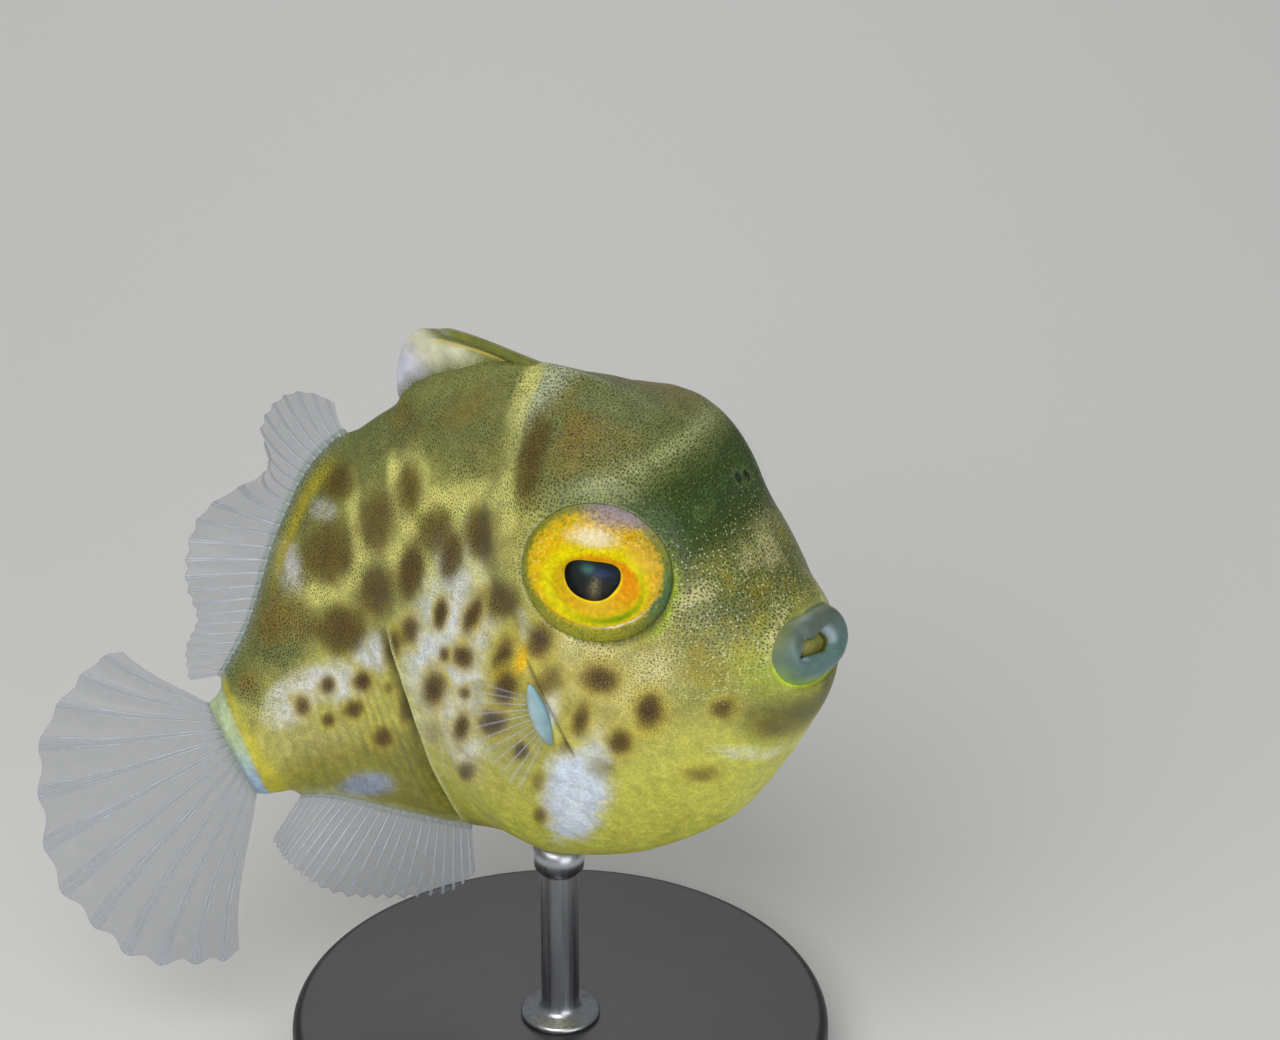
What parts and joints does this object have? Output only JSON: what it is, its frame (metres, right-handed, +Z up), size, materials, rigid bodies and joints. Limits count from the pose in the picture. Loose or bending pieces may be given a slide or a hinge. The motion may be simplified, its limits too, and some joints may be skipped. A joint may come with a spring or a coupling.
{
  "type": "young filefish display model",
  "caption": "Life-size model of a very young blacksaddle filefish: deep round body, big eyes, small mouth and tail turned aside, held nose up on a plain round stand.",
  "frame": {"origin": "centre of the underside of the stand's base", "axes": "+X the way the fish faces, level; +Y to the fish's left; +Z up, out of the floor"},
  "size_m": [0.0248, 0.017, 0.0256],
  "materials": {
    "skin": "painted cast resin, finely rough and damp-looking, olive and yellow with brown spots",
    "lips": "smooth painted resin, bluish grey and slightly see-through",
    "eye": "clear dome over a yellow iris and a dark pupil, polished",
    "fin": "thin clear film with raised rays",
    "stand_base": "satin black",
    "stand_rod": "brushed"
  },
  "bodies": {
    "root": {"head": "skin", "trunk": "skin", "tail_stalk": "skin", "upper_lip": "lips", "lower_lip": "lips", "eye_left": "eye", "eye_right": "eye", "dorsal_spine": "fin", "dorsal_fin": "fin", "anal_fin": "fin", "caudal_fin": "fin", "pectoral_fin_left": "fin", "pectoral_fin_right": "fin", "stand_base": "stand_base", "stand_rod": "stand_rod"}
  },
  "joints": []
}
